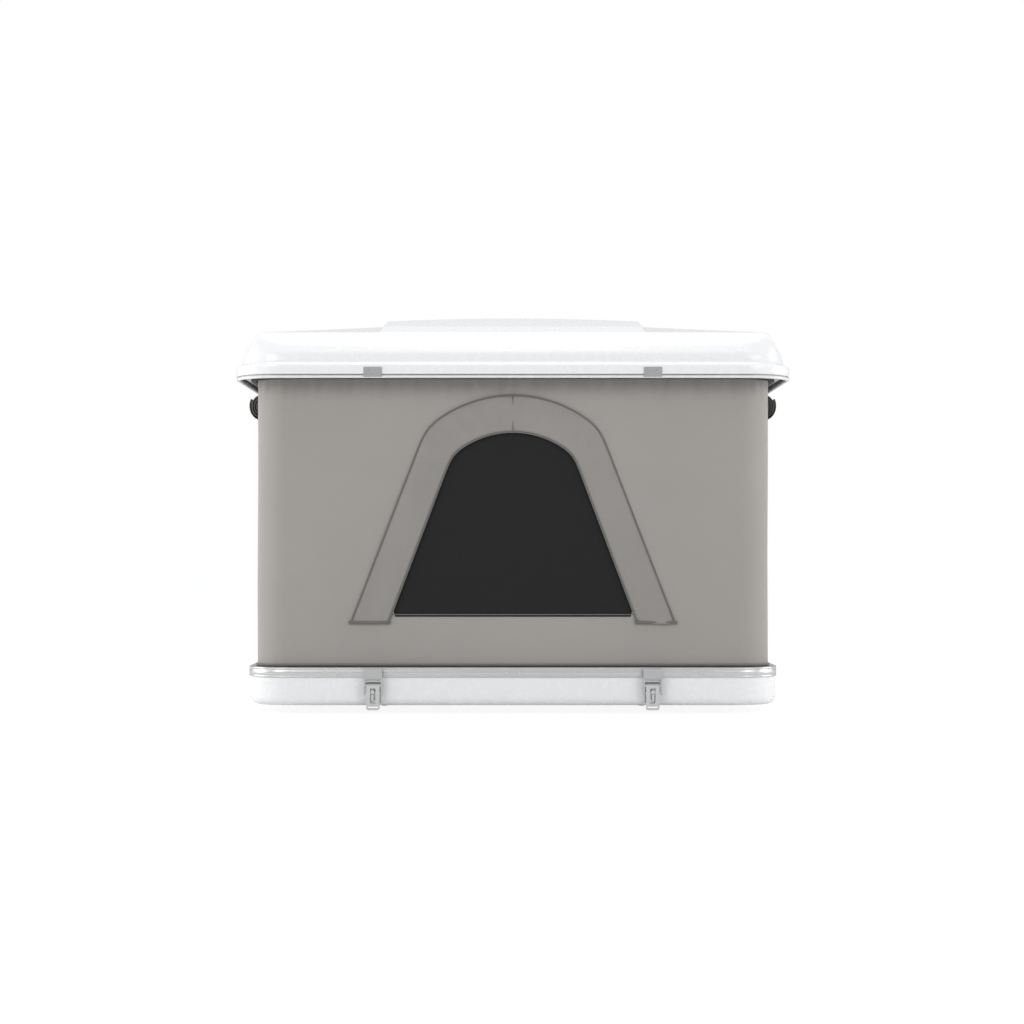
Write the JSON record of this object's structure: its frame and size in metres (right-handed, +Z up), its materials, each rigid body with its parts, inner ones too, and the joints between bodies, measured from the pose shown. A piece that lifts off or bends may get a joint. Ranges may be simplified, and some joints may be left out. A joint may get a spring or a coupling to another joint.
{
  "type": "rooftop tent",
  "caption": "Hard-shell pop-up roof tent, raised: white tray and lid, grey fabric walls with arched windows, folding arms with gas struts, and draw latches.",
  "frame": {"origin": "centre of the footprint, at the underside of the mounting rails", "axes": "+X across the tent, +Y along it towards the rear, +Z up"},
  "size_m": [1.6258, 2.1154, 1.166],
  "materials": {
    "shell": "gloss",
    "rim": "satin",
    "rivets": "satin",
    "mattress": "matte",
    "fasteners": "satin",
    "rails": "satin",
    "brackets": "satin",
    "arms": "satin",
    "strut_tube": "satin",
    "strut_rod": "polished",
    "latch_steel": "polished",
    "latch_claw": "satin",
    "liner": "matte",
    "trim": "satin",
    "seal": "matte",
    "wall_fabric": "matte",
    "band_fabric": "matte",
    "mesh": "matte",
    "webbing": "matte"
  },
  "bodies": {
    "root": {"base_shell": "shell", "rim_profile": "rim", "rim_rivets": "rivets", "mattress": "mattress", "rail_screws": "fasteners", "mounting_rail_left": "rails", "mounting_rail_right": "rails", "base_bracket_front_left": "brackets", "base_bracket_front_right": "brackets", "base_bracket_rear_left": "brackets", "base_bracket_rear_right": "brackets", "latch_plate_front_left": "latch_steel", "latch_plate_front_right": "latch_steel", "latch_plate_rear_left": "latch_steel", "latch_plate_rear_right": "latch_steel", "fabric_wall": "wall_fabric", "window_band_front": "band_fabric", "window_band_rear": "band_fabric", "window_mesh_front": "mesh", "window_mesh_rear": "mesh", "door_mesh_left": "mesh", "door_mesh_right": "mesh", "door_roll_left": "wall_fabric", "door_roll_right": "wall_fabric", "roll_straps": "webbing"},
    "lid": {"lid_shell": "shell", "lid_liner": "liner", "lid_trim": "trim", "lid_frame": "rim", "lid_seal": "seal", "keepers_front": "latch_steel", "keepers_rear": "latch_steel", "lid_bracket_front_left": "brackets", "lid_bracket_front_right": "brackets", "lid_bracket_rear_left": "brackets", "lid_bracket_rear_right": "brackets"},
    "lower_arm_front_left": {"lower_arm_front_left": "arms"},
    "upper_arm_front_left": {"upper_arm_front_left": "arms"},
    "strut_cylinder_front_left": {"strut_cylinder_front_left": "strut_tube"},
    "strut_rod_front_left": {"strut_rod_front_left": "strut_rod"},
    "latch_lever_front_left": {"latch_lever_front_left": "latch_steel"},
    "latch_claw_front_left": {"latch_claw_front_left": "latch_claw"},
    "lower_arm_front_right": {"lower_arm_front_right": "arms"},
    "upper_arm_front_right": {"upper_arm_front_right": "arms"},
    "strut_cylinder_front_right": {"strut_cylinder_front_right": "strut_tube"},
    "strut_rod_front_right": {"strut_rod_front_right": "strut_rod"},
    "latch_lever_front_right": {"latch_lever_front_right": "latch_steel"},
    "latch_claw_front_right": {"latch_claw_front_right": "latch_claw"},
    "lower_arm_rear_left": {"lower_arm_rear_left": "arms"},
    "upper_arm_rear_left": {"upper_arm_rear_left": "arms"},
    "strut_cylinder_rear_left": {"strut_cylinder_rear_left": "strut_tube"},
    "strut_rod_rear_left": {"strut_rod_rear_left": "strut_rod"},
    "latch_lever_rear_left": {"latch_lever_rear_left": "latch_steel"},
    "latch_claw_rear_left": {"latch_claw_rear_left": "latch_claw"},
    "lower_arm_rear_right": {"lower_arm_rear_right": "arms"},
    "upper_arm_rear_right": {"upper_arm_rear_right": "arms"},
    "strut_cylinder_rear_right": {"strut_cylinder_rear_right": "strut_tube"},
    "strut_rod_rear_right": {"strut_rod_rear_right": "strut_rod"},
    "latch_lever_rear_right": {"latch_lever_rear_right": "latch_steel"},
    "latch_claw_rear_right": {"latch_claw_rear_right": "latch_claw"}
  },
  "joints": [
    {"name": "lift", "type": "hinge", "parent": "root", "child": "lower_arm_front_left", "pos_m": [-0.709, -0.86, 0.078], "axis": [-1, 0, 0], "range_deg": [0, 50.76], "stiffness_Nm_per_rad": 212, "springref_deg": -75.63, "deforming": ["fabric_wall", "window_band_front", "window_band_rear", "window_mesh_front", "window_mesh_rear", "door_mesh_left", "door_mesh_right", "door_roll_left", "door_roll_right", "roll_straps"]},
    {"name": "elbow_front_left", "type": "hinge", "parent": "lower_arm_front_left", "child": "upper_arm_front_left", "pos_m": [-0.721, -0.54235, 0.527], "axis": [-1, 0, 0], "range_deg": [-101.52, 0]},
    {"name": "lid_level", "type": "hinge", "parent": "upper_arm_front_left", "child": "lid", "pos_m": [-0.721, -0.86, 0.976], "axis": [-1, 0, 0], "range_deg": [0, 50.76]},
    {"name": "strut_head_front_left", "type": "hinge", "parent": "lower_arm_front_left", "child": "strut_cylinder_front_left", "pos_m": [-0.69, -0.92369, 0.24635], "axis": [-1, 0, 0], "range_deg": [-25.38, 0]},
    {"name": "strut_foot_front_left", "type": "hinge", "parent": "root", "child": "strut_rod_front_left", "pos_m": [-0.69, -0.68324, 0.044], "axis": [-1, 0, 0], "range_deg": [0, 25.38]},
    {"name": "latch_front_left", "type": "hinge", "parent": "root", "child": "latch_lever_front_left", "pos_m": [-0.397, -1.0337, 0.083], "axis": [-1, 0, 0], "range_deg": [0, 75]},
    {"name": "claw_front_left", "type": "hinge", "parent": "latch_lever_front_left", "child": "latch_claw_front_left", "pos_m": [-0.397, -1.0357, 0.061], "axis": [-1, 0, 0], "range_deg": [-49.5, 0]},
    {"name": "lower_arm_front_right", "type": "hinge", "parent": "root", "child": "lower_arm_front_right", "pos_m": [0.709, -0.86, 0.078], "axis": [-1, 0, 0], "range_deg": [0, 50.76]},
    {"name": "elbow_front_right", "type": "hinge", "parent": "lower_arm_front_right", "child": "upper_arm_front_right", "pos_m": [0.721, -0.54235, 0.527], "axis": [-1, 0, 0], "range_deg": [-101.52, 0]},
    {"name": "strut_head_front_right", "type": "hinge", "parent": "lower_arm_front_right", "child": "strut_cylinder_front_right", "pos_m": [0.69, -0.92369, 0.24635], "axis": [-1, 0, 0], "range_deg": [-25.38, 0]},
    {"name": "strut_foot_front_right", "type": "hinge", "parent": "root", "child": "strut_rod_front_right", "pos_m": [0.69, -0.68324, 0.044], "axis": [-1, 0, 0], "range_deg": [0, 25.38]},
    {"name": "latch_front_right", "type": "hinge", "parent": "root", "child": "latch_lever_front_right", "pos_m": [0.397, -1.0337, 0.083], "axis": [-1, 0, 0], "range_deg": [0, 75]},
    {"name": "claw_front_right", "type": "hinge", "parent": "latch_lever_front_right", "child": "latch_claw_front_right", "pos_m": [0.397, -1.0357, 0.061], "axis": [-1, 0, 0], "range_deg": [-49.5, 0]},
    {"name": "lower_arm_rear_left", "type": "hinge", "parent": "root", "child": "lower_arm_rear_left", "pos_m": [-0.709, 0.86, 0.078], "axis": [1, 0, 0], "range_deg": [0, 50.76]},
    {"name": "elbow_rear_left", "type": "hinge", "parent": "lower_arm_rear_left", "child": "upper_arm_rear_left", "pos_m": [-0.721, 0.54235, 0.527], "axis": [1, 0, 0], "range_deg": [-101.52, 0]},
    {"name": "strut_head_rear_left", "type": "hinge", "parent": "lower_arm_rear_left", "child": "strut_cylinder_rear_left", "pos_m": [-0.69, 0.92369, 0.24635], "axis": [1, 0, 0], "range_deg": [-25.38, 0]},
    {"name": "strut_foot_rear_left", "type": "hinge", "parent": "root", "child": "strut_rod_rear_left", "pos_m": [-0.69, 0.68324, 0.044], "axis": [1, 0, 0], "range_deg": [0, 25.38]},
    {"name": "latch_rear_left", "type": "hinge", "parent": "root", "child": "latch_lever_rear_left", "pos_m": [-0.397, 1.0337, 0.083], "axis": [1, 0, 0], "range_deg": [0, 75]},
    {"name": "claw_rear_left", "type": "hinge", "parent": "latch_lever_rear_left", "child": "latch_claw_rear_left", "pos_m": [-0.397, 1.0357, 0.061], "axis": [1, 0, 0], "range_deg": [-49.5, 0]},
    {"name": "lower_arm_rear_right", "type": "hinge", "parent": "root", "child": "lower_arm_rear_right", "pos_m": [0.709, 0.86, 0.078], "axis": [1, 0, 0], "range_deg": [0, 50.76]},
    {"name": "elbow_rear_right", "type": "hinge", "parent": "lower_arm_rear_right", "child": "upper_arm_rear_right", "pos_m": [0.721, 0.54235, 0.527], "axis": [1, 0, 0], "range_deg": [-101.52, 0]},
    {"name": "strut_head_rear_right", "type": "hinge", "parent": "lower_arm_rear_right", "child": "strut_cylinder_rear_right", "pos_m": [0.69, 0.92369, 0.24635], "axis": [1, 0, 0], "range_deg": [-25.38, 0]},
    {"name": "strut_foot_rear_right", "type": "hinge", "parent": "root", "child": "strut_rod_rear_right", "pos_m": [0.69, 0.68324, 0.044], "axis": [1, 0, 0], "range_deg": [0, 25.38]},
    {"name": "latch_rear_right", "type": "hinge", "parent": "root", "child": "latch_lever_rear_right", "pos_m": [0.397, 1.0337, 0.083], "axis": [1, 0, 0], "range_deg": [0, 75]},
    {"name": "claw_rear_right", "type": "hinge", "parent": "latch_lever_rear_right", "child": "latch_claw_rear_right", "pos_m": [0.397, 1.0357, 0.061], "axis": [1, 0, 0], "range_deg": [-49.5, 0]}
  ],
  "couplings": [
    {"joint": "elbow_front_left", "follows": "lift", "ratio": -2},
    {"joint": "lid_level", "follows": "lift", "ratio": 1},
    {"joint": "strut_head_front_left", "follows": "lift", "ratio": -0.5},
    {"joint": "strut_foot_front_left", "follows": "lift", "ratio": 0.5},
    {"joint": "claw_front_left", "follows": "latch_front_left", "ratio": -0.66},
    {"joint": "lower_arm_front_right", "follows": "lift", "ratio": 1},
    {"joint": "elbow_front_right", "follows": "lift", "ratio": -2},
    {"joint": "strut_head_front_right", "follows": "lift", "ratio": -0.5},
    {"joint": "strut_foot_front_right", "follows": "lift", "ratio": 0.5},
    {"joint": "claw_front_right", "follows": "latch_front_right", "ratio": -0.66},
    {"joint": "lower_arm_rear_left", "follows": "lift", "ratio": 1},
    {"joint": "elbow_rear_left", "follows": "lift", "ratio": -2},
    {"joint": "strut_head_rear_left", "follows": "lift", "ratio": -0.5},
    {"joint": "strut_foot_rear_left", "follows": "lift", "ratio": 0.5},
    {"joint": "claw_rear_left", "follows": "latch_rear_left", "ratio": -0.66},
    {"joint": "lower_arm_rear_right", "follows": "lift", "ratio": 1},
    {"joint": "elbow_rear_right", "follows": "lift", "ratio": -2},
    {"joint": "strut_head_rear_right", "follows": "lift", "ratio": -0.5},
    {"joint": "strut_foot_rear_right", "follows": "lift", "ratio": 0.5},
    {"joint": "claw_rear_right", "follows": "latch_rear_right", "ratio": -0.66}
  ]
}
